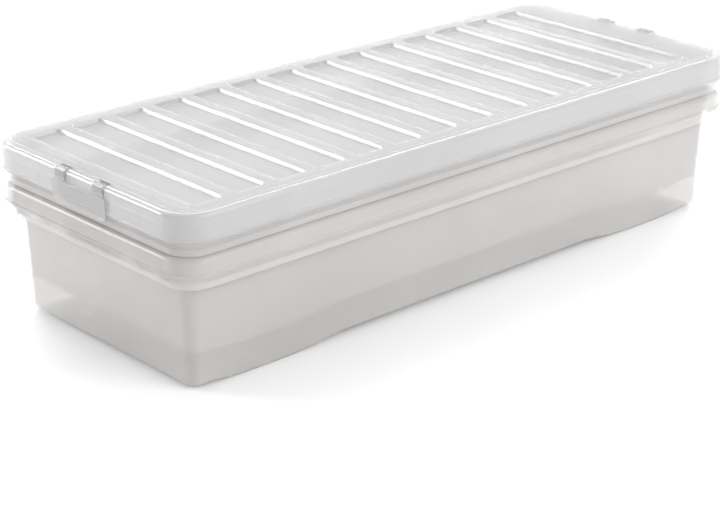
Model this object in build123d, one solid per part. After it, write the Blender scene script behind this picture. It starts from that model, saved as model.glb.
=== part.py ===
from build123d import *
import math
import os

# Nestable under bed box: two identical tubs, one inside the other, under a ribbed lid
# with a clip at each short end.  Millimetres, +X along the box, +Z up, the origin on the
# ground under the middle of the box.

# ---- driving sizes -------------------------------------------------------------------
# tub
RIM_LENGTH = 978.4            # over the rim's outer wall
RIM_WIDTH = 390.4
TUB_HEIGHT = 177.3            # ground to rim top
TUB_WALL = 1.4
TUB_FLOOR = 1.8
MOUTH_CORNER = 24.0           # plan radius of the tub wall at the rim top
BASE_FILLET = 8.0             # rounding between the wall and the floor
# rim section: a channel that is open downwards
RIM_CORNER = 39.7             # plan radius of the rim's outer wall
RIM_WALL = 1.5
RIM_REACH = 18.1              # rim's outer wall to the tub wall, at the rim top
RIM_ROUND = 8.5               # rounding of the rim's top outer edge
RIM_STRAIGHT = 20.5           # rim top to where the lip starts
LIP_OUT = 2.3                 # how far the lip stands out
LIP_DROP = 1.8                # slope above the lip
LIP_LAND = 1.1                # upright land of the lip
SKIRT_IN = 4.9                # how far the lower skirt stands in
SKIRT_SLOPE = 9.8             # height of the slope between lip and skirt
SKIRT_LAND = 7.8              # height of the skirt
# webs inside the rim channel
WEB = 1.2
WEB_UNDER = 1.0               # how far the webs stop short of the skirt's lower edge
GRIP_WEB_COUNT = 10
GRIP_WEB_PITCH = 10.0
OUTER_WEBS = (97.0, 143.0)    # distances from the middle of the end, each side
# feet: the base is arched down at each end of the tub and rests on a small flat
FOOT_FROM_END = 142.7         # rim's end to the middle of the foot
FOOT_FLAT = 30.0
FOOT_RUN = 101.0              # run of the curve from the flat to the middle of the base
FOOT_RISE_MIDDLE = 7.8
FOOT_RISE_END = 4.6
HEEL_MARGIN = 5.0             # from the start of a corner to the end of the heel's rounding
KINK_ROUND = 60.0             # rounding where a foot meets the middle of the base
HEEL_ROUND = 120.0            # rounding where a foot meets the level strip at the end
# nesting
NEST_GAP = 0.3                # upright gap where one tub stands on the other's rim
NEST_CLEARANCE = 0.4          # gap between the nested walls
# lid
LID_WALL = 1.8
LID_DECK = 1.8
LID_CLEARANCE = 1.5           # lid skirt to the rim's outer wall
LID_RISE = 13.4               # rim top to the lid's top
LID_ROUND = 6.0               # rounding of the lid's top edge
LID_BAND = 16.0               # height of the upper band
LID_BAND_STEP = 0.8           # how far the lower band stands in
LID_BEAD = 3.0                # height of the bead round the lower edge
LID_LIP_GAP = 0.9             # lid's lower edge to the slope above the lip
PANEL_BORDER = 13.0           # lid edge to the shallow panel
PANEL_CORNER = 30.0
PANEL_DEPTH = 1.0
PAD_COUNT = 14
RIB_WIDTH = 17.0              # between two pads
PAD_START = 39.5              # -X end of the lid to the first pad
PAD_FINISH = 72.0             # last pad to the +X end of the lid
PAD_MARGIN = 33.5             # lid edge to the ends of the pads
PAD_DEPTH = 4.0               # below the panel
PAD_CORNER = 7.0
PAD_TAPER = 22.0              # lean of the pad walls, degrees
RIDGE = 1.6                   # thickness of the ridges under the lid
RIDGE_CLEARANCE = 1.2         # locating ridge to the tub's mouth
RIDGE_DEPTH = 5.0             # how far the locating ridge enters the tub
SEAT_IN = 11.0                # rim's outer wall to the seat ridge
SEAT_GAP = 0.3
# clips
CLIP_WIDTH = 108.0
CLIP_BELOW = 8.7              # lid's lower edge to the clip's lower edge
CLIP_TOP = 14.5               # lid's top to the ledge where the arms meet the tab
CLIP_THICK = 2.6
CLIP_GAP = 0.4
CLIP_CORNER = 5.0
CLIP_HOOK = 1.1               # how far the hook reaches in
CLIP_HOOK_HEIGHT = 3.0
ARM_WIDTH = 21.5
ARM_PLACE = 38.0              # middle of the box to the middle of an arm
ARM_THICK = 1.9
NOTCH_SIDE = 0.6              # arm to the side of its notch
NOTCH_IN = 12.5               # lid end to the back of a notch
NOTCH_DROP = 11.5             # lid's top to the floor of a notch
ROD_RADIUS = 1.6              # rod moulded across each notch
EYE_RADIUS = 4.4
EYE_CLEARANCE = 0.3
HINGE_IN = 5.2                # lid end to the rod's axis
HINGE_DROP = 3.6              # lid's top to the rod's axis

# ---- sizes that follow ---------------------------------------------------------------
RIM_HEIGHT = RIM_STRAIGHT + LIP_DROP + LIP_LAND + SKIRT_SLOPE + SKIRT_LAND
NEST_PITCH = RIM_HEIGHT + NEST_GAP
DRAFT = math.degrees(math.atan((TUB_WALL + NEST_CLEARANCE) / NEST_PITCH))
LID_LENGTH = RIM_LENGTH + 2 * (LID_CLEARANCE + LID_WALL)
LID_WIDTH = RIM_WIDTH + 2 * (LID_CLEARANCE + LID_WALL)
LID_CORNER = RIM_CORNER + LID_CLEARANCE + LID_WALL
LID_TOP = TUB_HEIGHT + NEST_PITCH + LID_RISE
LID_HEIGHT = LID_RISE + RIM_STRAIGHT - LID_LIP_GAP + LIP_DROP
CLIP_DROP = LID_HEIGHT + CLIP_BELOW
PADS_SPAN = LID_LENGTH - PAD_START - PAD_FINISH
PAD_LENGTH = (PADS_SPAN - (PAD_COUNT - 1) * RIB_WIDTH) / PAD_COUNT
PAD_PITCH = PAD_LENGTH + RIB_WIDTH
FAR = 40.0                    # run-out of a cutter past what it cuts


def plate(length, width, corner, top, height):
    """Rounded rectangular block whose upper face is at z = top."""
    outline = RectangleRounded(length, width, corner)
    return Pos(0, 0, top - height) * extrude(outline, height)


def base_outline(lift):
    """Long side view of a tub's body, from the ground curve up past the rim."""
    end = RIM_LENGTH / 2
    foot = end - FOOT_FROM_END
    outer, inner = foot + FOOT_FLAT / 2, foot - FOOT_FLAT / 2
    kink, past = inner - FOOT_RUN, end + FAR
    level_from = end - RIM_REACH - MOUTH_CORNER - HEEL_MARGIN
    span = level_from - outer
    # the heel's rounding ends just where the level strip begins, short of the corner
    heel = outer + (span + math.sqrt(span ** 2 - 4 * HEEL_ROUND * FOOT_RISE_END)) / 2
    top = TUB_HEIGHT + FAR
    middle_z, end_z = lift + FOOT_RISE_MIDDLE, lift + FOOT_RISE_END

    def rise(start, finish, height):
        """Curve that leaves the flat level and reaches its height at the finish."""
        run = finish - start
        radius = (run ** 2 + height ** 2) / (2 * height)
        half = math.asin(run / radius) / 2
        middle = (start + radius * math.sin(half), lift + radius * (1 - math.cos(half)))
        return ThreePointArc((start, lift), middle, (finish, lift + height))

    lines = [
        Line((-kink, middle_z), (kink, middle_z)),
        rise(inner, kink, FOOT_RISE_MIDDLE),
        Line((inner, lift), (outer, lift)),
        rise(outer, heel, FOOT_RISE_END),
        Polyline((heel, end_z), (past, end_z), (past, top), (-past, top), (-past, end_z),
                 (-heel, end_z)),
        rise(-outer, -heel, FOOT_RISE_END),
        Line((-outer, lift), (-inner, lift)),
        rise(-inner, -kink, FOOT_RISE_MIDDLE),
    ]
    outline = make_face(Curve() + lines)
    for side in (-1, 1):
        for x, z, rounding in ((kink, middle_z, KINK_ROUND), (heel, end_z, HEEL_ROUND)):
            corner = outline.vertices().sort_by_distance((side * x, z))[0]
            outline = fillet(corner, rounding)
    return outline


def tapered_body(inset, lift, rounding):
    """Drafted tub body, inset from the outer wall, standing on the foot curve."""
    length = RIM_LENGTH - 2 * (RIM_REACH + inset)
    width = RIM_WIDTH - 2 * (RIM_REACH + inset)
    outline = RectangleRounded(length, width, MOUTH_CORNER - inset)
    drafted = Pos(0, 0, TUB_HEIGHT) * extrude(outline, TUB_HEIGHT, dir=(0, 0, -1), taper=DRAFT)
    side = extrude(Plane.XZ * base_outline(lift), RIM_WIDTH, both=True)
    body = drafted & side
    level = lift + max(FOOT_RISE_MIDDLE, FOOT_RISE_END) + 1
    under = [e for e in body.edges() if e.bounding_box().max.Z < level]
    rim_edges = [e for e in under if e.bounding_box().size.Y < width / 2 or on_end(e, length)]
    return fillet(rim_edges, rounding)


def on_end(edge, length):
    """True for an edge at one of the two short ends."""
    return abs(edge.center().X) > length / 2 - FAR / 2


def rim_line(depth, lower_stop):
    """Line of the rim's section at a depth into its wall, from its lower edge to its top.

    X runs inwards from the rim's outer wall and Y up from its top.
    """
    lip_top = -RIM_STRAIGHT - LIP_DROP
    lip_low = lip_top - LIP_LAND
    skirt_top = lip_low - SKIRT_SLOPE
    radius = RIM_ROUND - depth
    bend = radius * math.sqrt(0.5)
    middle = (RIM_ROUND - bend, bend - RIM_ROUND)
    return [
        Polyline((SKIRT_IN + depth, lower_stop - RIM_HEIGHT), (SKIRT_IN + depth, skirt_top),
                 (depth - LIP_OUT, lip_low), (depth - LIP_OUT, lip_top),
                 (depth, -RIM_STRAIGHT), (depth, -RIM_ROUND)),
        ThreePointArc((depth, -RIM_ROUND), middle, (RIM_ROUND, -depth)),
        Line((RIM_ROUND, -depth), (RIM_REACH + TUB_WALL / 2, -depth)),
    ]


def rim_section():
    """Section of the rim's wall."""
    reach = RIM_REACH + TUB_WALL / 2
    low = -RIM_HEIGHT
    ends = [Line((SKIRT_IN, low), (SKIRT_IN + RIM_WALL, low)),
            Line((reach, 0), (reach, -RIM_WALL))]
    return make_face(Curve() + rim_line(0, 0) + rim_line(RIM_WALL, 0) + ends)


def web_section():
    """Section of a web, which fills the rim channel out to the tub's wall."""
    depth = RIM_WALL / 2
    low = WEB_UNDER - RIM_HEIGHT
    reach = RIM_REACH + TUB_WALL / 2
    wall_low = reach + (depth + low) * -math.tan(math.radians(DRAFT))
    close = Polyline((reach, -depth), (wall_low, low), (SKIRT_IN + depth, low))
    return make_face(Curve() + rim_line(depth, WEB_UNDER) + [close])


def rim_ring():
    """The rim, swept round the tub."""
    path = Pos(0, 0, TUB_HEIGHT) * RectangleRounded(RIM_LENGTH, RIM_WIDTH, RIM_CORNER).wire()
    start = Plane(origin=(0, -RIM_WIDTH / 2, TUB_HEIGHT), x_dir=(0, 1, 0), z_dir=(1, 0, 0))
    return sweep(start * rim_section(), path)


def web_places():
    """Places of the webs across each end of the rim, from the middle of the end."""
    grip = [(i - (GRIP_WEB_COUNT - 1) / 2) * GRIP_WEB_PITCH for i in range(GRIP_WEB_COUNT)]
    corner = RIM_WIDTH / 2 - RIM_CORNER - WEB
    return grip + [side * place for place in OUTER_WEBS + (corner,) for side in (-1, 1)]


def rim_webs():
    """Thin upright webs in the end channels: a grip of close webs, and stiffeners."""
    start = Plane(origin=(-RIM_LENGTH / 2, 0, TUB_HEIGHT), x_dir=(1, 0, 0), z_dir=(0, -1, 0))
    web = extrude(start * web_section(), WEB / 2, both=True)
    one_end = Part() + [Pos(0, y, 0) * web for y in web_places()]
    return one_end + Rot(0, 0, 180) * one_end


def tub():
    """One tub, standing on its feet at z = 0."""
    outer = tapered_body(0, 0, BASE_FILLET)
    cavity = tapered_body(TUB_WALL, TUB_FLOOR, BASE_FILLET - TUB_WALL)
    return (outer + rim_ring() + rim_webs()) - cavity


def pad_places():
    """Middles of the recessed pads along the box."""
    first = PAD_START + PAD_LENGTH / 2 - LID_LENGTH / 2
    return [first + i * PAD_PITCH for i in range(PAD_COUNT)]


def pads(grow):
    """The recessed pads between the ribs of the lid, grown by a wall thickness."""
    width = LID_WIDTH - 2 * PAD_MARGIN + 2 * grow
    depth = PANEL_DEPTH + PAD_DEPTH + grow
    outline = RectangleRounded(PAD_LENGTH + 2 * grow, width, PAD_CORNER + grow)
    pad = Pos(0, 0, LID_TOP) * extrude(outline, depth, dir=(0, 0, -1), taper=PAD_TAPER)
    return Part() + [Pos(x, 0, 0) * pad for x in pad_places()]


def notches(grow):
    """Notches in the lid's ends for the clip arms, grown by a wall thickness."""
    width = ARM_WIDTH + 2 * NOTCH_SIDE + 2 * grow
    reach = NOTCH_IN + grow
    drop = NOTCH_DROP + grow
    shapes = []
    for s in (-1, 1):
        for y in (-ARM_PLACE, ARM_PLACE):
            x = s * (LID_LENGTH / 2 - reach / 2 + FAR / 2)
            z = LID_TOP - drop / 2 + FAR / 2
            shapes.append(Pos(x, y, z) * Box(reach + FAR, width, drop + FAR))
    return Part() + shapes


def lid_outer():
    """Outer form of the lid: rounded top, upper band, lower band and bead."""
    upper = plate(LID_LENGTH, LID_WIDTH, LID_CORNER, LID_TOP, LID_BAND)
    upper = fillet(upper.faces().sort_by(Axis.Z)[-1].edges(), LID_ROUND)
    step = 2 * LID_BAND_STEP
    lower = plate(LID_LENGTH - step, LID_WIDTH - step, LID_CORNER - LID_BAND_STEP,
                  LID_TOP - LID_BAND, LID_HEIGHT - LID_BAND)
    bead = plate(LID_LENGTH, LID_WIDTH, LID_CORNER, LID_TOP - LID_HEIGHT + LID_BEAD, LID_BEAD)
    panel = plate(LID_LENGTH - 2 * PANEL_BORDER, LID_WIDTH - 2 * PANEL_BORDER, PANEL_CORNER,
                  LID_TOP, PANEL_DEPTH)
    return upper + lower + bead - panel - pads(0) - notches(0)


def lid_cavity():
    """Space under the lid's deck, kept off the panel, pads and notches by a wall."""
    wall = 2 * LID_WALL
    hollow = plate(LID_LENGTH - wall, LID_WIDTH - wall, LID_CORNER - LID_WALL,
                   LID_TOP - LID_DECK - PANEL_DEPTH, LID_HEIGHT + FAR)
    hollow = fillet(hollow.faces().sort_by(Axis.Z)[-1].edges(), LID_ROUND - LID_WALL)
    return hollow - pads(LID_WALL) - notches(LID_WALL)


def ridge(outer_in, corner, depth_below_rim):
    """Ridge under the lid, its outer face set in from the rim's outer wall."""
    low = LID_TOP - LID_RISE - depth_below_rim
    height = LID_TOP - LID_DECK - low
    outside = plate(RIM_LENGTH - 2 * outer_in, RIM_WIDTH - 2 * outer_in, corner,
                    LID_TOP - LID_DECK, height)
    inside_in = outer_in + RIDGE
    inside = plate(RIM_LENGTH - 2 * inside_in, RIM_WIDTH - 2 * inside_in, corner - RIDGE,
                   LID_TOP + FAR, height + 2 * FAR)
    return outside - inside


def rods():
    """Rods across the notches, one piece with the lid, that the clip eyes turn on."""
    length = ARM_WIDTH + 2 * (NOTCH_SIDE + LID_WALL)
    rod = Rot(90, 0, 0) * Cylinder(ROD_RADIUS, length)
    places = [(s * hinge_x(), y) for s in (-1, 1) for y in (-ARM_PLACE, ARM_PLACE)]
    return Part() + [Pos(x, y, LID_TOP - HINGE_DROP) * rod for x, y in places]


def hinge_x():
    """Distance of the clip axes from the middle of the box."""
    return LID_LENGTH / 2 - HINGE_IN


def lid():
    """The lid in its place on the upper tub."""
    mouth_in = TUB_WALL + RIDGE_CLEARANCE
    locating = ridge(RIM_REACH + mouth_in, MOUTH_CORNER - mouth_in, RIDGE_DEPTH)
    under = locating + ridge(SEAT_IN, RIM_CORNER - SEAT_IN, -SEAT_GAP)
    shell = lid_outer() - lid_cavity()
    return shell + (under - pads(0) - notches(0)) + rods()


def clip():
    """Clip at the +X end: a tab with a hook, and two arms with eyes."""
    face = LID_LENGTH / 2 + CLIP_GAP
    top, low = LID_TOP - CLIP_TOP, LID_TOP - CLIP_DROP
    height = top - low
    outline = Rectangle(CLIP_WIDTH, height)
    outline = fillet(outline.vertices().group_by(Axis.Y)[0], CLIP_CORNER)
    tab = extrude(Plane(origin=(face, 0, (top + low) / 2), x_dir=(0, 1, 0), z_dir=(1, 0, 0))
                  * outline, CLIP_THICK)
    hook_width = CLIP_WIDTH - 2 * CLIP_CORNER
    hook = Pos(face, 0, low + CLIP_HOOK_HEIGHT / 2) * Box(2 * CLIP_HOOK, hook_width,
                                                          CLIP_HOOK_HEIGHT)
    axis_x, axis_z = hinge_x(), LID_TOP - HINGE_DROP
    bore = ROD_RADIUS + EYE_CLEARANCE
    body = tab + hook
    for y in (-ARM_PLACE, ARM_PLACE):
        place = Pos(axis_x, y, axis_z)
        eye = place * Rot(90, 0, 0) * Cylinder(EYE_RADIUS, ARM_WIDTH)
        arm_top = axis_z + EYE_RADIUS
        reach = face + ARM_THICK - axis_x
        over = Pos(axis_x + reach / 2, y, arm_top - ARM_THICK / 2) * Box(reach, ARM_WIDTH,
                                                                        ARM_THICK)
        fall = arm_top - top
        down = Pos(face + ARM_THICK / 2, y, arm_top - fall / 2) * Box(ARM_THICK, ARM_WIDTH, fall)
        shoulder = over + down
        crest = shoulder.edges().filter_by(Axis.Y).sort_by(
            lambda e: e.center().X + e.center().Z)[-1]
        body += fillet(crest, ARM_THICK * 0.9) + eye
    for y in (-ARM_PLACE, ARM_PLACE):
        body -= Pos(axis_x, y, axis_z) * Rot(90, 0, 0) * Cylinder(bore, ARM_WIDTH + 2)
    return body


def write(shape, name):
    """Write one node."""
    export_step(shape, f"parts/{name}.step")


os.makedirs("parts", exist_ok=True)
tub_shape = tub()
clip_shape = clip()
write(tub_shape, "outer_tub")
write(Pos(0, 0, NEST_PITCH) * tub_shape, "inner_tub")
write(lid(), "lid")
write(clip_shape, "clip_right")
write(Rot(0, 0, 180) * clip_shape, "clip_left")
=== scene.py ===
"""Under bed box in natural polypropylene: two nested tubs, a ribbed lid and two end clips."""

import logging
import math
from dataclasses import dataclass
from enum import Enum

import bmesh
import bpy
from mathutils import Matrix, Vector

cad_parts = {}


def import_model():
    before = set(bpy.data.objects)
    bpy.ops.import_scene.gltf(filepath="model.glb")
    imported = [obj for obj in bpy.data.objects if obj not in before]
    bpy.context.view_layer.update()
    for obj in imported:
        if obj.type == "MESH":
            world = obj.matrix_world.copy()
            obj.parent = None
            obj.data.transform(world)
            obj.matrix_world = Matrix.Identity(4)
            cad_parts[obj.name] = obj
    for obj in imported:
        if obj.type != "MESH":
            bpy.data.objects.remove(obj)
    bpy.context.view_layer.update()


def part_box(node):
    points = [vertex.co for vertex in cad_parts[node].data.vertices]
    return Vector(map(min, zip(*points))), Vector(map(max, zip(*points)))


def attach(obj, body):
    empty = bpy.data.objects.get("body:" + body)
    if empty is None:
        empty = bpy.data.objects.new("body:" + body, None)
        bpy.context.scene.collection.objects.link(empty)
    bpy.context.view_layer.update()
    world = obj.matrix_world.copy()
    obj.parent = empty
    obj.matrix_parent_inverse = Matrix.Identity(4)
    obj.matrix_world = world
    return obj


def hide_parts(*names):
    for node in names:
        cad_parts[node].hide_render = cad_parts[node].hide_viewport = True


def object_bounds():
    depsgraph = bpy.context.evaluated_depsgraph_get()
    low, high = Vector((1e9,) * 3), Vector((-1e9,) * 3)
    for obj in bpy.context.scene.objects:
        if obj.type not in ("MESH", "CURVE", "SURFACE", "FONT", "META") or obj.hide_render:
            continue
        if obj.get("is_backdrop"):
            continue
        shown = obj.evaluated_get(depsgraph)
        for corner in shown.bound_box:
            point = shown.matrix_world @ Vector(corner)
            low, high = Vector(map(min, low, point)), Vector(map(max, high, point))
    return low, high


log = logging.getLogger("under_bed_box")
MM = 0.001
CORNER_STEPS = 12      # spans round a quarter turn of a plan outline
LONG_STEPS = 116       # spans along a tub's long side, enough for its arched feet
TUBE_SPANS = 32
REACH_SHARE = 0.49     # most of a line that one rounding may take
SHARP_TURN = 30.0      # edges of a prism that turn by more than this are rounded, degrees
MERGE = 0.003          # points closer than this are one

Pair = tuple[float, float]
Corner = tuple[float, float, float]
Loop = list[bmesh.types.BMVert]


class Side(Enum):
    """The two short ends of the box, by the sign of X."""

    LEFT = -1
    RIGHT = 1


class Tone(Enum):
    """How polished the mould was: the roughness it leaves on the plastic."""

    POLISHED = 0.17
    SATIN = 0.3


# ---- shapes --------------------------------------------------------------------------------


def soften(corners: list[Corner], step_angle: float = 15.0) -> list[Pair]:
    """Round the corners of an open line.

    Args:
        corners: Each corner's two coordinates and its radius; the ends stay sharp.
        step_angle: Turn of one span of a rounding, in degrees.

    Returns:
        The points of the rounded line.
    """
    points = [corners[0][:2]]
    for before, here, after in zip(corners, corners[1:], corners[2:]):
        place = Vector(here[:2])
        back = Vector(before[:2]) - place
        on = Vector(after[:2]) - place
        reach_limit = REACH_SHARE * min(back.length, on.length)
        back, on = back.normalized(), on.normalized()
        half = back.angle(on) / 2
        reach = min(here[2] / math.tan(half), reach_limit)
        radius = reach * math.tan(half)
        turn = math.pi - 2 * half
        spans = max(1, round(math.degrees(turn) / step_angle))
        centre = place + (back + on).normalized() * (radius / math.sin(half))
        first = place + back * reach - centre
        sense = 1 if back.x * on.y - back.y * on.x < 0 else -1
        for i in range(spans + 1):
            spoke = first.copy()
            spoke.rotate(Matrix.Rotation(sense * turn * i / spans, 2))
            points.append(tuple(centre + spoke))
    points.append(corners[-1][:2])
    return points


@dataclass
class Ring:
    """Rounded rectangle, its points kept in the same order whatever its size."""

    half_x: float
    half_y: float
    corner: float
    long_steps: int = 1

    def places(self) -> list[tuple[float, float, float, float]]:
        """Walk round the outline, counterclockwise from the +X end.

        Returns:
            Points, each its place in plan and its outward direction.
        """
        found = []
        signs = ((1, 1), (-1, 1), (-1, -1), (1, -1))
        for quarter, (sx, sy) in enumerate(signs):
            for step in range(CORNER_STEPS + 1):
                angle = math.radians(90 * (quarter + step / CORNER_STEPS))
                c, s = math.cos(angle), math.sin(angle)
                found.append((sx * (self.half_x - self.corner) + self.corner * c,
                              sy * (self.half_y - self.corner) + self.corner * s, c, s))
            if quarter in (0, 2):
                run = self.half_x - self.corner
                for step in range(1, self.long_steps):
                    x = sx * run * (1 - 2 * step / self.long_steps)
                    found.append((x, sy * self.half_y, 0.0, float(sy)))
        return found


def add_ring(bm: bmesh.types.BMesh, points: list[Corner]) -> Loop:
    """Add one loop of vertices, given in millimetres."""
    return [bm.verts.new(Vector(p) * MM) for p in points]


def bridge(bm: bmesh.types.BMesh, first: Loop, second: Loop) -> None:
    """Join two loops of the same count with four-sided faces.

    Args:
        bm: Where the faces go.
        first: One loop.
        second: The other loop.
    """
    for i in range(len(first)):
        j = (i + 1) % len(first)
        bm.faces.new((first[i], first[j], second[j], second[i]))


def cross_strips(bm: bmesh.types.BMesh, ring: Loop) -> None:
    """Close a loop made by Ring with strips that run across Y.

    Args:
        bm: Where the strips go.
        ring: The loop.
    """
    last = len(ring) - 1
    for i in range(len(ring) // 2 - 1):
        bm.faces.new((ring[i], ring[i + 1], ring[last - i - 1], ring[last - i]))


def loop_edges(bm: bmesh.types.BMesh, ring: Loop) -> list[bmesh.types.BMEdge]:
    """Find the edges of a closed loop, and make those that are missing.

    Args:
        bm: The mesh that holds the loop.
        ring: The loop.

    Returns:
        Its edges.
    """
    edges = []
    for i, vert in enumerate(ring):
        after = ring[(i + 1) % len(ring)]
        edges.append(bm.edges.get((vert, after)) or bm.edges.new((vert, after)))
    return edges


def fill_between(bm: bmesh.types.BMesh, outer: Loop, hole: Loop) -> None:
    """Fill the flat region between a loop and the hole inside it."""
    edges = loop_edges(bm, outer) + loop_edges(bm, hole)
    bmesh.ops.triangle_fill(bm, edges=edges, use_beauty=True, normal=(0, 0, 1))


def extrude_outline(bm: bmesh.types.BMesh, outline: list[Pair], axis: int, low: float,
                    high: float, bevel: float = 0.0) -> None:
    """Add a prism, given in millimetres.

    Args:
        bm: Where the prism goes.
        outline: Its outline, in the two coordinates other than its axis.
        axis: 0 for a prism along X, 1 along Y.
        low: Its lower end along the axis.
        high: Its upper end.
        bevel: Rounding of its edges.
    """
    def place(point: Pair, along: float) -> Corner:
        """The point of the outline, at a place along the axis."""
        return (along, point[0], point[1]) if axis == 0 else (point[0], along, point[1])

    part = bmesh.new()
    ends = [add_ring(part, [place(p, along) for p in outline]) for along in (low, high)]
    bridge(part, *ends)
    for end in ends:
        part.faces.new(end)
    bmesh.ops.recalc_face_normals(part, faces=part.faces)
    if bevel:
        sharp = [e for e in part.edges if e.calc_face_angle(0) > math.radians(SHARP_TURN)]
        bmesh.ops.bevel(part, geom=sharp, offset=bevel * MM, segments=3, profile=0.5,
                        affect="EDGES", clamp_overlap=True)
    join(bm, part)


def join(bm: bmesh.types.BMesh, part: bmesh.types.BMesh) -> None:
    """Move one bmesh's geometry into another.

    Args:
        bm: Where the geometry goes.
        part: Where it comes from; it is freed.
    """
    scratch = bpy.data.meshes.new("scratch")
    part.to_mesh(scratch)
    part.free()
    bm.from_mesh(scratch)
    bpy.data.meshes.remove(scratch)


def add_tube(bm: bmesh.types.BMesh, x: float, z: float, section: list[Pair]) -> None:
    """Add a turned ring round a line along Y.

    Args:
        bm: Where the ring goes.
        x: Place of the line.
        z: Height of the line.
        section: Closed section, each point a radius and a place along Y.
    """
    part = bmesh.new()
    turns = [2 * math.pi * i / TUBE_SPANS for i in range(TUBE_SPANS)]
    rings = [add_ring(part, [(x + radius * math.cos(turn), y, z + radius * math.sin(turn))
                             for turn in turns]) for radius, y in section]
    for i, ring in enumerate(rings):
        bridge(part, ring, rings[(i + 1) % len(rings)])
    join(bm, part)


def to_piece(bm: bmesh.types.BMesh, name: str) -> bpy.types.Object:
    """Turn a bmesh into a piece at the origin: doubles merged, faces outwards.

    Args:
        bm: The mesh; it is freed.
        name: Name of the piece.

    Returns:
        The piece.
    """
    bmesh.ops.remove_doubles(bm, verts=bm.verts, dist=MERGE * MM)
    bmesh.ops.recalc_face_normals(bm, faces=bm.faces)
    mesh = bpy.data.meshes.new(name)
    bm.to_mesh(mesh)
    bm.free()
    piece = bpy.data.objects.new(name, mesh)
    bpy.context.scene.collection.objects.link(piece)
    return piece


def settle(piece: bpy.types.Object) -> None:
    """Turn a piece with modifiers into a plain mesh.

    Args:
        piece: The piece; its modifiers are removed.
    """
    graph = bpy.context.evaluated_depsgraph_get()
    made = bpy.data.meshes.new_from_object(piece.evaluated_get(graph))
    made.name = piece.name
    piece.modifiers.clear()
    piece.data = made


def smooth_shade(piece: bpy.types.Object, limit: float = 38.0) -> None:
    """Shade a piece smooth, with flats kept flat beside their roundings.

    Args:
        piece: The piece.
        limit: Edges that turn by more than this many degrees stay sharp.
    """
    piece.data.shade_smooth()
    piece.data.set_sharp_from_angle(angle=math.radians(limit))
    weighted = piece.modifiers.new("flat_faces_lead", "WEIGHTED_NORMAL")
    weighted.weight = 100
    weighted.keep_sharp = True


# ---- finishes ------------------------------------------------------------------------------


@dataclass(frozen=True)
class Polypropylene:
    """Translucent moulded polypropylene with faint flow marks and a fine mould texture.

    The see-through look is a constant cover, with a thin glossy skin that keeps its highlights.
    """

    name: str
    light: Corner
    dark: Corner
    cover: float
    tone: Tone
    skin: float = 1.0
    skin_roughness: float = 0.04
    flow_scale: float = 5.0
    grain_scale: float = 900.0
    grain_depth: float = 0.03

    def material(self) -> bpy.types.Material:
        """Build the material, unless it is there already.

        Returns:
            The material.
        """
        if self.name in bpy.data.materials:
            return bpy.data.materials[self.name]
        made = bpy.data.materials.new(self.name)
        made.use_nodes = True
        nodes, links = made.node_tree.nodes, made.node_tree.links
        shader = nodes["Principled BSDF"]
        shader.inputs["Alpha"].default_value = self.cover
        shader.inputs["IOR"].default_value = 1.49
        shader.inputs["Coat Weight"].default_value = self.skin
        shader.inputs["Coat Roughness"].default_value = self.skin_roughness
        coords = nodes.new("ShaderNodeTexCoord")

        flow = nodes.new("ShaderNodeTexNoise")
        flow.inputs["Scale"].default_value = self.flow_scale
        flow.inputs["Detail"].default_value = 4.0
        flow.inputs["Distortion"].default_value = 0.6
        tint = nodes.new("ShaderNodeValToRGB")
        tint.color_ramp.elements[0].position = 0.32
        tint.color_ramp.elements[1].position = 0.68
        tint.color_ramp.elements[0].color = (*self.dark, 1)
        tint.color_ramp.elements[1].color = (*self.light, 1)
        links.new(coords.outputs["Object"], flow.inputs["Vector"])
        links.new(flow.outputs["Fac"], tint.inputs["Fac"])
        links.new(tint.outputs["Color"], shader.inputs["Base Color"])

        haze = nodes.new("ShaderNodeMapRange")
        haze.inputs["To Min"].default_value = self.tone.value * 0.8
        haze.inputs["To Max"].default_value = self.tone.value * 1.25
        links.new(flow.outputs["Fac"], haze.inputs["Value"])
        links.new(haze.outputs["Result"], shader.inputs["Roughness"])

        grain = nodes.new("ShaderNodeTexNoise")
        grain.inputs["Scale"].default_value = self.grain_scale
        grain.inputs["Detail"].default_value = 2.0
        bump = nodes.new("ShaderNodeBump")
        bump.inputs["Strength"].default_value = self.grain_depth
        bump.inputs["Distance"].default_value = 0.0004
        links.new(coords.outputs["Object"], grain.inputs["Vector"])
        links.new(grain.outputs["Fac"], bump.inputs["Height"])
        links.new(bump.outputs["Normal"], shader.inputs["Normal"])
        return made


TUB_PLASTIC = Polypropylene("tub_polypropylene", (0.64, 0.628, 0.618), (0.605, 0.588, 0.577),
                            0.44, Tone.SATIN, skin=0.35, skin_roughness=0.16)
# a web is seen along its depth, so it covers more than the thin walls; its darker colour is
# painted shade, standing for how dark a web of the same plastic looks seen edge-on through the
# translucent skirt
WEB_PAINTED_SHADE_PLASTIC = Polypropylene("web_polypropylene_painted_shade", (0.42, 0.41, 0.4), (0.38, 0.37, 0.36),
                            0.85, Tone.SATIN, skin=0.3, skin_roughness=0.2)
LID_PLASTIC = Polypropylene("lid_polypropylene", (0.63, 0.633, 0.64), (0.6, 0.604, 0.613),
                            0.42, Tone.POLISHED)
CLIP_PLASTIC = Polypropylene("clip_polypropylene", (0.5, 0.49, 0.485), (0.46, 0.45, 0.445),
                             0.3, Tone.POLISHED)


# ---- repeats -------------------------------------------------------------------------------


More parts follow.
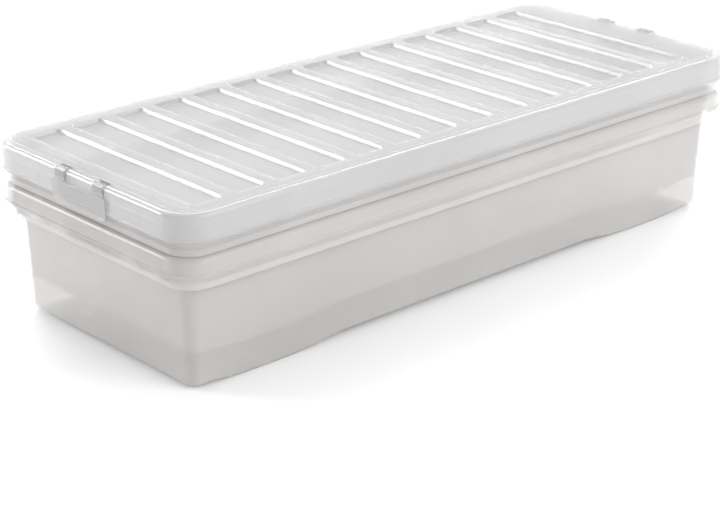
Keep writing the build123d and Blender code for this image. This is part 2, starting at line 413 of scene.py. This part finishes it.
class Repeater:
    """Geometry Nodes tree that repeats a mesh along rows and takes the rows to both ends."""

    def __init__(self, name: str, rows: int, both_ends: bool) -> None:
        """Build the tree.

        Args:
            name: Name of the tree.
            rows: How many rows it has; each has a count, a first place and a step.
            both_ends: Whether a copy, turned half round, goes to the other end.
        """
        self.tree = bpy.data.node_groups.new(name, "GeometryNodeTree")
        face, nodes = self.tree.interface, self.tree.nodes
        face.new_socket("Geometry", in_out="INPUT", socket_type="NodeSocketGeometry")
        face.new_socket("Geometry", in_out="OUTPUT", socket_type="NodeSocketGeometry")
        face.new_socket("Material", in_out="INPUT", socket_type="NodeSocketMaterial")
        for row in range(rows):
            face.new_socket(f"Count {row}", in_out="INPUT", socket_type="NodeSocketInt")
            face.new_socket(f"Start {row}", in_out="INPUT", socket_type="NodeSocketVector")
            face.new_socket(f"Step {row}", in_out="INPUT", socket_type="NodeSocketVector")
        source, sink = nodes.new("NodeGroupInput"), nodes.new("NodeGroupOutput")
        link = self.tree.links.new
        joined = nodes.new("GeometryNodeJoinGeometry")
        for row in range(rows):
            line = nodes.new("GeometryNodeMeshLine")
            placed = nodes.new("GeometryNodeInstanceOnPoints")
            link(source.outputs[f"Count {row}"], line.inputs["Count"])
            link(source.outputs[f"Start {row}"], line.inputs["Start Location"])
            link(source.outputs[f"Step {row}"], line.inputs["Offset"])
            link(line.outputs["Mesh"], placed.inputs["Points"])
            link(source.outputs["Geometry"], placed.inputs["Instance"])
            link(placed.outputs["Instances"], joined.inputs["Geometry"])
        whole = joined
        if both_ends:
            turned = nodes.new("GeometryNodeTransform")
            whole = nodes.new("GeometryNodeJoinGeometry")
            turned.inputs["Rotation"].default_value = (0, 0, math.pi)
            link(joined.outputs["Geometry"], turned.inputs["Geometry"])
            link(joined.outputs["Geometry"], whole.inputs["Geometry"])
            link(turned.outputs["Geometry"], whole.inputs["Geometry"])
        real = nodes.new("GeometryNodeRealizeInstances")
        coat = nodes.new("GeometryNodeSetMaterial")
        link(whole.outputs["Geometry"], real.inputs["Geometry"])
        link(real.outputs["Geometry"], coat.inputs["Geometry"])
        link(source.outputs["Material"], coat.inputs["Material"])
        link(coat.outputs["Geometry"], sink.inputs["Geometry"])

    def repeat(self, piece: bpy.types.Object, material: bpy.types.Material,
               rows: list[tuple[int, Corner, Corner]]) -> None:
        """Repeat a piece's mesh, and make the result its plain mesh.

        Args:
            piece: The piece.
            material: Material of the result.
            rows: Count, first place and step of each row, in millimetres.
        """
        modifier = piece.modifiers.new("repeat", "NODES")
        modifier.node_group = self.tree
        names = {s.name: s.identifier for s in self.tree.interface.items_tree
                 if s.in_out == "INPUT"}
        modifier[names["Material"]] = material
        for row, (count, start, step) in enumerate(rows):
            modifier[names[f"Count {row}"]] = count
            modifier[names[f"Start {row}"]] = [v * MM for v in start]
            modifier[names[f"Step {row}"]] = [v * MM for v in step]
        settle(piece)


# ---- the tubs ------------------------------------------------------------------------------


@dataclass
class Tub:
    """One tub: a drafted shell on arched feet, with a channelled rim and end webs."""

    node: str
    wall: float = 1.4
    floor: float = 1.8
    mouth_corner: float = 24.0
    base_round: float = 8.0
    rim_corner: float = 39.7
    rim_wall: float = 1.5
    rim_reach: float = 18.1
    rim_round: float = 8.5
    straight: float = 20.5
    lip_out: float = 2.3
    lip_drop: float = 1.8
    lip_land: float = 1.1
    skirt_in: float = 4.9
    skirt_slope: float = 9.8
    skirt_land: float = 7.8
    nest_gap: float = 0.3
    nest_clearance: float = 0.4
    web: float = 1.2
    web_under: float = 1.0
    grip_count: int = 10
    grip_pitch: float = 10.0
    outer_webs: Pair = (97.0, 143.0)
    foot_from_end: float = 142.7
    foot_flat: float = 30.0
    foot_run: float = 101.0
    rise_middle: float = 7.8
    rise_end: float = 4.6
    heel_margin: float = 5.0
    heel_round: float = 120.0
    ease: float = 5.0
    ease_steps: int = 4
    base_land: float = 1.5
    arch_share: float = 1.6
    web_gap: float = 0.05

    def __post_init__(self) -> None:
        """Take the overall sizes from the frame."""
        low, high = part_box(self.node)
        self.half_x = high.x / MM - self.lip_out
        self.half_y = high.y / MM - self.lip_out
        self.base = low.z / MM
        self.height = (high.z - low.z) / MM
        self.skirt_top = -(self.straight + self.lip_drop + self.lip_land + self.skirt_slope)
        self.rim_height = self.skirt_land - self.skirt_top
        pitch = self.rim_height + self.nest_gap
        self.slope = (self.wall + self.nest_clearance) / pitch

    def foot(self, x: float) -> float:
        """Find the underside's height above the ground, before its kinks are eased.

        Args:
            x: Place along the tub.

        Returns:
            The height.
        """
        middle = self.half_x - self.foot_from_end
        outer, inner = middle + self.foot_flat / 2, middle - self.foot_flat / 2
        kink = inner - self.foot_run
        span = self.half_x - self.rim_reach - self.mouth_corner - self.heel_margin - outer
        heel = outer + (span + math.sqrt(span ** 2 - 4 * self.heel_round * self.rise_end)) / 2
        along = abs(x)
        if along < inner:
            return self.rise_middle * min(1.0, (inner - along) / (inner - kink)) ** 2
        if along > outer:
            return self.rise_end * min(1.0, (along - outer) / (heel - outer)) ** 2
        return 0.0

    def eased_foot(self, x: float) -> float:
        """Height of the underside above the ground, with its kinks eased."""
        spread = [self.ease * (i / self.ease_steps - 1) for i in range(2 * self.ease_steps + 1)]
        return sum(self.foot(x + s) for s in spread) / len(spread)

    def section(self) -> list[Pair]:
        """Section of the shell, from the underside out round the rim to the floor.

        Each corner below is a distance in, a height, and the rounding of that corner.

        Returns:
            Points, each a distance in from the rim's outer wall and a height.
        """
        inset = self.rim_reach + self.height * self.slope
        mouth = self.rim_reach + self.wall
        inside = mouth + (self.height - self.floor) * self.slope
        rim, skirt = self.rim_wall, self.skirt_in
        lip_top = -self.straight - self.lip_drop
        lip_low = lip_top - self.lip_land
        top = self.height
        flat = self.base_round + self.base_land
        return soften([
            (inset + flat, 0, 0),
            (inset, 0, self.base_round),
            (self.rim_reach, top - rim, 0.9),
            (rim, top - rim, self.rim_round - rim),
            (rim, top - self.straight, 1.0),
            (rim - self.lip_out, top + lip_top, 0.5),
            (rim - self.lip_out, top + lip_low, 0.5),
            (skirt + rim, top + self.skirt_top, 1.2),
            (skirt + rim, top - self.rim_height, 0.5),
            (skirt, top - self.rim_height, 0.6),
            (skirt, top + self.skirt_top, 1.6),
            (-self.lip_out, top + lip_low, 0.6),
            (-self.lip_out, top + lip_top, 0.6),
            (0, top - self.straight, 1.2),
            (0, top, self.rim_round),
            (mouth, top, 1.1),
            (inside, self.floor, self.base_round - self.wall),
            (inside + flat - self.wall, self.floor, 0),
        ])

    def ring_at(self, inset: float) -> Ring:
        """Find the shell's plan outline.

        Args:
            inset: Distance in from the rim's outer wall.

        Returns:
            The outline.
        """
        if inset <= self.rim_reach:
            share = inset / self.rim_reach
            corner = self.rim_corner + (self.mouth_corner - self.rim_corner) * share
        else:
            corner = self.mouth_corner - (inset - self.rim_reach)
        return Ring(self.half_x - inset, self.half_y - inset, corner, LONG_STEPS)

    def shell(self) -> bpy.types.Object:
        """Build the shell.

        Returns:
            The piece.
        """
        bm = bmesh.new()
        rings = []
        arched_below = self.base_round * self.arch_share
        for inset, z in self.section():
            points = []
            for x, y, out_x, out_y in self.ring_at(inset).places():
                lift = self.eased_foot(x) if z < arched_below else 0.0
                on_wall = lift * self.slope if z > self.floor else 0.0
                points.append((x + out_x * on_wall, y + out_y * on_wall, self.base + z + lift))
            rings.append(add_ring(bm, points))
        for first, second in zip(rings, rings[1:]):
            bridge(bm, first, second)
        cross_strips(bm, rings[0])
        cross_strips(bm, rings[-1])
        return to_piece(bm, f"{self.node}_shell")

    def webs(self, repeater: Repeater) -> bpy.types.Object:
        """Build the upright webs in the end channels.

        Args:
            repeater: Tree that sets them in rows.

        Returns:
            The piece.
        """
        depth = self.rim_wall + self.web_gap
        top = self.base + self.height
        low = self.web_under - self.rim_height
        lip_top = -self.straight - self.lip_drop
        reach = self.rim_reach - self.web_gap
        line = soften([
            (self.skirt_in + depth, low, 0), (self.skirt_in + depth, self.skirt_top, 1.0),
            (depth - self.lip_out, lip_top - self.lip_land, 0.5),
            (depth - self.lip_out, lip_top, 0.5), (depth, -self.straight, 0.8),
            (depth, -depth, self.rim_round - depth), (reach, -depth, 0),
        ])
        line.append((reach - low * self.slope, low))
        outline = [(inset - self.half_x, top + z) for inset, z in line]
        bm = bmesh.new()
        extrude_outline(bm, outline, 1, -self.web / 2, self.web / 2)
        piece = to_piece(bm, f"{self.node}_webs")
        corner = self.half_y - self.rim_corner - self.web
        first = -(self.grip_count - 1) / 2 * self.grip_pitch
        rows = [(self.grip_count, (0, first, 0), (0, self.grip_pitch, 0))]
        for place in (*self.outer_webs, corner):
            rows.append((2, (0, -place, 0), (0, 2 * place, 0)))
        # the webs take the darker material, whose colour is painted shade
        repeater.repeat(piece, WEB_PAINTED_SHADE_PLASTIC.material(), rows)
        return piece

    def build(self, repeater: Repeater) -> None:
        """Build and dress the tub.

        Args:
            repeater: Tree that sets its webs in rows.
        """
        shell, webs = self.shell(), self.webs(repeater)
        shell.data.materials.append(TUB_PLASTIC.material())
        for piece in (shell, webs):
            smooth_shade(piece)
            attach(piece, self.node)
            report(piece)
        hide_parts(self.node)


# ---- the lid -------------------------------------------------------------------------------


@dataclass
class Lid:
    """The lid: a banded skirt, a deck with recessed pads, ridges and clip notches."""

    wall: float = 1.8
    corner: float = 43.0
    top_round: float = 6.0
    band: float = 16.0
    band_step: float = 0.8
    bead: float = 3.0
    border: float = 13.0
    panel_depth: float = 1.0
    pad_count: int = 14
    rib: float = 17.0
    pad_start: float = 39.5
    pad_finish: float = 72.0
    pad_margin: float = 33.5
    pad_depth: float = 4.0
    pad_corner: float = 7.0
    pad_taper: float = 22.0
    edge_round: float = 1.1
    rise: float = 13.4
    ridge: float = 1.6
    seat_in: float = 14.3
    seat_gap: float = 0.3
    locating_in: float = 24.0
    locating_depth: float = 5.0
    arm_width: float = 21.5
    arm_place: float = 38.0
    notch_side: float = 0.6
    notch_in: float = 12.5
    notch_drop: float = 11.5
    rod_radius: float = 1.6
    rod_sides: int = 24
    rod_hold: float = 0.2
    deck_land: float = 6.0
    cell_margin: float = 4.0
    pad_land: float = 3.0
    least_corner: float = 0.8
    pad_step_angle: float = 11.0
    cutter_past: float = 6.0
    seat_sunk: float = 0.15
    seat_edge: float = 0.3
    hinge_in: float = 5.2
    hinge_drop: float = 3.6

    def __post_init__(self) -> None:
        """Take the overall sizes from the frame."""
        low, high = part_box("lid")
        self.half_x, self.half_y = high.x / MM, high.y / MM
        self.top, self.height = high.z / MM, (high.z - low.z) / MM
        ribs = (self.pad_count - 1) * self.rib
        span = 2 * self.half_x - self.pad_start - self.pad_finish
        self.pad_length = (span - ribs) / self.pad_count
        self.pitch = self.pad_length + self.rib
        self.deck_in = self.border + self.deck_land
        self.cell_half_y = self.half_y - self.pad_margin + self.cell_margin

    def section(self) -> list[Pair]:
        """Section of the skirt, from under the deck out round the edge to its top.

        Each corner below is a distance in, a height, and the rounding of that corner.

        Returns:
            Points, each a distance in from the lid's edge and a height from its top.
        """
        under, low = -self.panel_depth - self.wall, -self.height
        bead, band, step = low + self.bead, -self.band, self.band_step
        return soften([
            (self.deck_in, under, 0), (self.wall, under, self.top_round - self.wall),
            (self.wall, low, 0.5), (0, low, 0.7), (0, bead, 0.5), (step, bead, 0.4),
            (step, band, 0.4), (0, band, 0.7), (0, 0, self.top_round),
            (self.border, 0, 0.7), (self.border + 0.5, -self.panel_depth, 0.7),
            (self.deck_in, -self.panel_depth, 0),
        ])

    def cell(self) -> bpy.types.Object:
        """Build one pad with half a rib on each side, upper and lower faces.

        Returns:
            The piece, to be repeated along the lid.
        """
        bm = bmesh.new()
        lean = math.tan(math.radians(self.pad_taper))
        half_x, half_y = self.pad_length / 2, self.half_y - self.pad_margin
        for grow in (0.0, self.wall):
            deck = -self.panel_depth - grow
            low = deck - self.pad_depth
            line = soften([(grow + deck * lean + self.pad_land, deck, 0),
                           (grow + deck * lean, deck, self.edge_round),
                           (grow + low * lean, low, self.edge_round),
                           (grow + low * lean - self.pad_land, low, 0)],
                          self.pad_step_angle)[1:]
            rings = []
            for out, z in line:
                corner = max(self.least_corner, self.pad_corner + out)
                ring = Ring(half_x + out, half_y + out, corner)
                rings.append(add_ring(bm, [(x, y, self.top + z)
                                           for x, y, _, _ in ring.places()]))
            for first, second in zip(rings, rings[1:]):
                bridge(bm, first, second)
            cross_strips(bm, rings[-1])
            edge = add_ring(bm, [(sx * self.pitch / 2, sy * self.cell_half_y, self.top + deck)
                                 for sx, sy in ((1, 1), (-1, 1), (-1, -1), (1, -1))])
            fill_between(bm, edge, rings[0])
        return to_piece(bm, "pad_cell")

    def shell(self, repeater: Repeater) -> bpy.types.Object:
        """Build the skirt and the deck as one closed shell.

        Args:
            repeater: Tree that sets the pads in a row.

        Returns:
            The piece.
        """
        row = self.cell()
        first = self.pad_start + self.pad_length / 2 - self.half_x
        repeater.repeat(row, LID_PLASTIC.material(),
                        [(self.pad_count, (first, 0, 0), (self.pitch, 0, 0))])
        bm = bmesh.new()
        bm.from_mesh(row.data)
        bpy.data.objects.remove(row)
        rings = []
        for inset, z in self.section():
            ring = Ring(self.half_x - inset, self.half_y - inset, self.corner - inset)
            rings.append(add_ring(bm, [(x, y, self.top + z) for x, y, _, _ in ring.places()]))
        for one, other in zip(rings, rings[1:]):
            bridge(bm, one, other)
        marks = [first + (i - 0.5) * self.pitch for i in range(self.pad_count + 1)]
        for ring, depth in ((rings[0], self.panel_depth + self.wall),
                            (rings[-1], self.panel_depth)):
            z = self.top - depth
            hole = [(x, self.cell_half_y, z) for x in reversed(marks)]
            hole += [(x, -self.cell_half_y, z) for x in marks]
            fill_between(bm, ring, add_ring(bm, hole))
        shell = to_piece(bm, "lid_shell")
        self.cut_notches(shell)
        return shell

    def notch_places(self) -> list[Pair]:
        """Middles of the notches: the end's sign, and the place along Y."""
        return [(side.value, y) for side in Side for y in (-self.arm_place, self.arm_place)]

    def cut_notches(self, shell: bpy.types.Object) -> None:
        """Cut the room of the notches and their liners out of the shell.

        Args:
            shell: The lid's shell.
        """
        bm = bmesh.new()
        half = self.arm_width / 2 + self.notch_side + self.wall
        drop, past = self.notch_drop + self.wall, self.cutter_past
        for sign, y in self.notch_places():
            back = sign * (self.half_x - self.notch_in - self.wall)
            low, high = sorted((sign * (self.half_x + past), back))
            box = [(low, self.top - drop), (high, self.top - drop),
                   (high, self.top + past), (low, self.top + past)]
            extrude_outline(bm, box, 1, y - half, y + half)
        cutter = to_piece(bm, "notch_cutter")
        cut = shell.modifiers.new("notches", "BOOLEAN")
        cut.object, cut.operation, cut.solver = cutter, "DIFFERENCE", "EXACT"
        settle(shell)
        bpy.data.objects.remove(cutter)

    def seats(self) -> bpy.types.Object:
        """Build the liners of the notches and the rods that the clips turn on.

        Returns:
            The piece.
        """
        bm = bmesh.new()
        half = self.arm_width / 2 + self.notch_side
        deck = self.top - self.seat_sunk
        floor = self.top - self.notch_drop
        for sign, y in self.notch_places():
            face = sign * (self.half_x - self.seat_sunk)
            back = sign * (self.half_x - self.notch_in)
            behind = back - sign * self.wall
            slab = [(face, floor - self.wall), (behind, floor - self.wall), (behind, floor),
                    (face, floor)]
            extrude_outline(bm, slab, 1, y - half - self.wall, y + half + self.wall,
                            self.seat_edge)
            wall = [(behind, floor), (back, floor), (back, deck), (behind, deck)]
            extrude_outline(bm, wall, 1, y - half - self.wall, y + half + self.wall,
                            self.seat_edge)
            cheek = soften([(back, floor, 0), (back, deck, 0.1), (face, deck, self.top_round),
                            (face, floor, 0.1), (back, floor, 0)])[:-1]
            for side in (-1, 1):
                near, far = sorted((y + side * half, y + side * (half + self.wall)))
                extrude_outline(bm, cheek, 1, near, far)
            middle_x, middle_z = sign * (self.half_x - self.hinge_in), self.top - self.hinge_drop
            turns = [2 * math.pi * i / self.rod_sides for i in range(self.rod_sides)]
            rod = [(middle_x + self.rod_radius * math.cos(turn),
                    middle_z + self.rod_radius * math.sin(turn)) for turn in turns]
            extrude_outline(bm, rod, 1, y - half - self.rod_hold, y + half + self.rod_hold)
        return to_piece(bm, "lid_hinge_seats")

    def ridges(self) -> bpy.types.Object:
        """Build the ridges under the deck: one seats on the rim, one enters the mouth.

        Returns:
            The piece.
        """
        bm = bmesh.new()
        deck = -self.panel_depth - self.wall - 0.05
        for inset, low in ((self.seat_in + 0.1, -self.rise + self.seat_gap),
                           (self.locating_in, -self.rise - self.locating_depth)):
            inside = inset + self.ridge
            section = soften([(inside, deck, 0), (inset, deck, 0.2), (inset, low, 0.5),
                              (inside, low, 0.5), (inside, deck, 0)])[:-1]
            rings = []
            for place, z in section:
                corner = max(2.0, self.corner - place)
                ring = Ring(self.half_x - place, self.half_y - place, corner)
                rings.append(add_ring(bm, [(x, y, self.top + z)
                                           for x, y, _, _ in ring.places()]))
            for i, ring in enumerate(rings):
                bridge(bm, ring, rings[(i + 1) % len(rings)])
        return to_piece(bm, "lid_ridges")

    def build(self, repeater: Repeater) -> None:
        """Build and dress the lid.

        Args:
            repeater: Tree that sets the pads in a row.
        """
        shell = self.shell(repeater)
        pieces = [shell, self.seats(), self.ridges()]
        for piece in pieces:
            piece.data.materials.clear()
            piece.data.materials.append(LID_PLASTIC.material())
            smooth_shade(piece)
            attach(piece, "lid")
            report(piece)
        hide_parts("lid")


# ---- the clips -----------------------------------------------------------------------------


@dataclass
class Clip:
    """One end clip: a tab with a hook, and two arms with eyes on the lid's rods."""

    side: Side
    lid: Lid
    width: float = 108.0
    drop_to_ledge: float = 14.5
    thick: float = 2.6
    gap: float = 0.4
    corner: float = 5.0
    hook: float = 1.1
    hook_height: float = 3.0
    arm_thick: float = 1.9
    eye_radius: float = 4.4
    clearance: float = 0.3
    eye_edge: float = 0.3

    @property
    def node(self) -> str:
        """Name of the clip's node and body."""
        return f"clip_{self.side.name.lower()}"

    def tab(self, bm: bmesh.types.BMesh, face: float, low: float, ledge: float) -> None:
        """Add the tab and its hook, at the +X end.

        Args:
            bm: Where they go.
            face: Place of the tab's inner face.
            low: Height of its lower edge.
            ledge: Height of its upper edge.
        """
        half = self.width / 2
        outline = soften([(0, ledge, 0), (-half, ledge, 0.8), (-half, low, self.corner),
                          (half, low, self.corner), (half, ledge, 0.8), (0, ledge, 0)])[:-1]
        extrude_outline(bm, outline, 0, face, face + self.thick, 0.5)
        high = low + self.hook_height
        nib = [(face + 0.2, low + 0.5), (face + 0.2, high), (face - self.hook, low + 1.2),
               (face - self.hook, low + 0.5)]
        reach = half - self.corner
        extrude_outline(bm, nib, 1, -reach, reach, 0.15)

    def arm(self, bm: bmesh.types.BMesh, face: float, ledge: float, y: float) -> None:
        """Add one arm with its eye, at the +X end.

        Args:
            bm: Where the arm goes.
            face: Place of the tab's inner face.
            ledge: Height of the tab's upper edge.
            y: Middle of the arm.
        """
        axis_x = self.lid.half_x - self.lid.hinge_in
        axis_z = self.lid.top - self.lid.hinge_drop
        crest, outer = axis_z + self.eye_radius, face + self.arm_thick
        half = self.lid.arm_width / 2
        under = crest - self.arm_thick
        strap = soften([(axis_x, under, 0), (axis_x, crest, 0.05),
                        (outer, crest, self.arm_thick * 1.5), (outer, ledge - 1.0, 0.05),
                        (face, ledge - 1.0, 0.05), (face, under, 0.5), (axis_x, under, 0)])[:-1]
        extrude_outline(bm, strap, 1, y - half, y + half, 0.25)
        bore, rim, outside = self.lid.rod_radius + self.clearance, self.eye_edge, self.eye_radius
        add_tube(bm, axis_x, axis_z, [
            (bore, y - half + rim), (bore + rim, y - half), (outside - rim, y - half),
            (outside, y - half + rim), (outside, y + half - rim), (outside - rim, y + half),
            (bore + rim, y + half), (bore, y + half - rim)])

    def build(self) -> None:
        """Build and dress the clip."""
        bm = bmesh.new()
        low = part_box(self.node)[0].z / MM
        face = self.lid.half_x + self.gap
        ledge = self.lid.top - self.drop_to_ledge
        self.tab(bm, face, low, ledge)
        for y in (-self.lid.arm_place, self.lid.arm_place):
            self.arm(bm, face, ledge, y)
        if self.side is Side.LEFT:
            bmesh.ops.rotate(bm, verts=bm.verts, cent=(0, 0, 0),
                             matrix=Matrix.Rotation(math.pi, 3, "Z"))
        piece = to_piece(bm, f"{self.node}_tab_and_arms")
        piece.data.materials.append(CLIP_PLASTIC.material())
        smooth_shade(piece)
        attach(piece, self.node)
        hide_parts(self.node)
        report(piece)


# ---- the studio ----------------------------------------------------------------------------


@dataclass(frozen=True)
class Softbox:
    """A soft light that faces the middle of the object from a direction."""

    name: str
    azimuth: float
    elevation: float
    distance: float
    width: float
    height: float
    watts: float

    def place(self, target: Vector) -> None:
        """Add the light, with its azimuth measured from +X towards +Y.

        Args:
            target: The point that it faces.
        """
        data = bpy.data.lights.new(self.name, "AREA")
        data.shape, data.size, data.size_y = "RECTANGLE", self.width, self.height
        data.energy = self.watts
        lamp = bpy.data.objects.new(self.name, data)
        around, up = math.radians(self.azimuth), math.radians(self.elevation)
        out = Vector((math.cos(up) * math.cos(around), math.cos(up) * math.sin(around),
                      math.sin(up)))
        lamp.location = target + out * self.distance
        lamp.rotation_mode = "QUATERNION"
        lamp.rotation_quaternion = (-out).to_track_quat("-Z", "Y")
        lamp.visible_camera = False
        bpy.context.scene.collection.objects.link(lamp)


@dataclass
class Studio:
    """Pale floor, white surround, soft lights and the camera."""

    surround: float = 0.9
    lens: float = 101.6
    heading: float = 47.66
    down: float = 22.17
    eye: Corner = (-1.7614, -1.8834, 1.0434)
    sensor: float = 36.0
    floor_radius: float = 12.0

    def floor(self) -> None:
        """Add the floor, a large flat disc."""
        bm = bmesh.new()
        bmesh.ops.create_circle(bm, cap_ends=True, segments=64, radius=self.floor_radius)
        floor = to_piece(bm, "floor")
        made = bpy.data.materials.new("pale_floor")
        made.use_nodes = True
        nodes, links = made.node_tree.nodes, made.node_tree.links
        shader = nodes["Principled BSDF"]
        shader.inputs["Roughness"].default_value = 0.8
        noise, tint = nodes.new("ShaderNodeTexNoise"), nodes.new("ShaderNodeValToRGB")
        coords = nodes.new("ShaderNodeTexCoord")
        noise.inputs["Scale"].default_value = 3.0
        tint.color_ramp.elements[0].color = (0.86, 0.86, 0.86, 1)
        tint.color_ramp.elements[1].color = (0.9, 0.9, 0.9, 1)
        links.new(coords.outputs["Object"], noise.inputs["Vector"])
        links.new(noise.outputs["Fac"], tint.inputs["Fac"])
        links.new(tint.outputs["Color"], shader.inputs["Base Color"])
        floor.data.materials.append(made)
        floor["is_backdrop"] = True

    def lights(self, target: Vector) -> None:
        """Add the surround and the softboxes.

        Args:
            target: The point that the softboxes face.
        """
        world = bpy.data.worlds.new("white_surround")
        world.use_nodes = True
        sky = world.node_tree.nodes["Background"]
        sky.inputs["Color"].default_value = (1, 1, 1, 1)
        sky.inputs["Strength"].default_value = self.surround
        bpy.context.scene.world = world
        for softbox in (
            Softbox("rear_bank", 50, 45, 3.2, 4.2, 0.5, 100),
            Softbox("rib_wall_bank", 134, 15, 2.8, 0.75, 0.9, 30),
            Softbox("low_rear_strip", 52, 7, 3.4, 3.4, 0.4, 50),
            Softbox("front_fill", -78, 32, 3.2, 2.4, 1.6, 52),
        ):
            softbox.place(target)

    def camera(self) -> None:
        """Add the camera."""
        data = bpy.data.cameras.new("camera")
        data.lens, data.sensor_width = self.lens, self.sensor
        camera = bpy.data.objects.new("camera", data)
        around, down = math.radians(self.heading), math.radians(self.down)
        view = Vector((math.cos(down) * math.cos(around), math.cos(down) * math.sin(around),
                       -math.sin(down)))
        camera.location = self.eye
        camera.rotation_mode = "QUATERNION"
        camera.rotation_quaternion = view.to_track_quat("-Z", "Y")
        bpy.context.scene.collection.objects.link(camera)
        bpy.context.scene.camera = camera

    def build(self) -> None:
        """Build the studio round the object."""
        low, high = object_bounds()
        bpy.context.scene.view_settings.view_transform = "Standard"
        self.camera()
        self.floor()
        self.lights((low + high) / 2)


def report(piece: bpy.types.Object) -> None:
    """Log a piece's name and its count of faces."""
    log.info("%s: %d faces", piece.name, len(piece.data.polygons))


def main() -> None:
    """Build the object round its frame."""
    logging.basicConfig(level=logging.INFO)
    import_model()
    Studio().build()
    webs = Repeater("webs_in_rows", 4, True)
    for node in ("outer_tub", "inner_tub"):
        Tub(node).build(webs)
    lid = Lid()
    lid.build(Repeater("pads_in_a_row", 1, False))
    for side in Side:
        Clip(side, lid).build()


if __name__ == "__main__":
    main()
